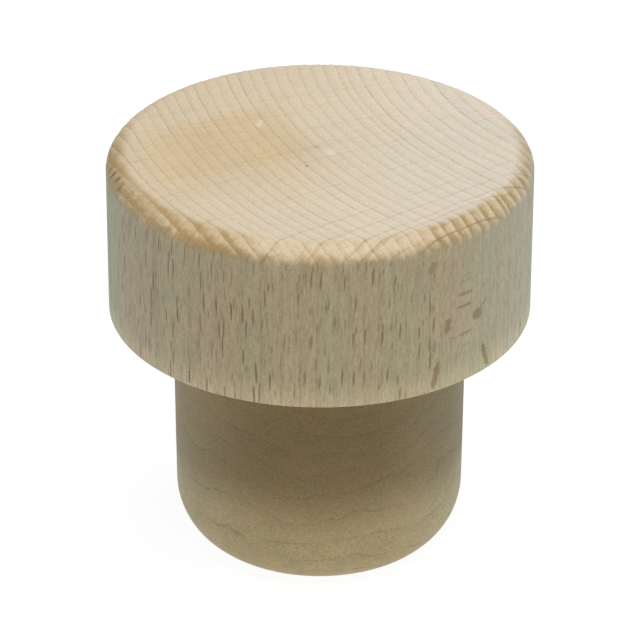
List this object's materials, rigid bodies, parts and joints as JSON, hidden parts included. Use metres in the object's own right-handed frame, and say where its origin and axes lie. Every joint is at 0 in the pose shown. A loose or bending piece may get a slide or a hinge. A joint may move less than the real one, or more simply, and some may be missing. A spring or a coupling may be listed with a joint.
{
  "type": "wooden bottle stopper",
  "caption": "Turned wooden bottle stopper: a broad round head with a softened rim, glued onto a narrower plug with a rounded end that fills the bottle's mouth.",
  "frame": {"origin": "middle of the plug's flat end, which the stopper stands on", "axes": "+Z along the turned axis, from the plug's end to the head's top; +X and +Y are level, and -Y faces the picture's camera"},
  "size_m": [0.03, 0.03, 0.0303],
  "materials": {
    "head_wood": "bare sanded beech, matt, end grain on top and ray flecks round the side",
    "plug_wood": "bare fine-grained wood, matt, faint arched grain lines"
  },
  "bodies": {
    "root": {"head": "head_wood", "plug": "plug_wood"}
  },
  "joints": []
}
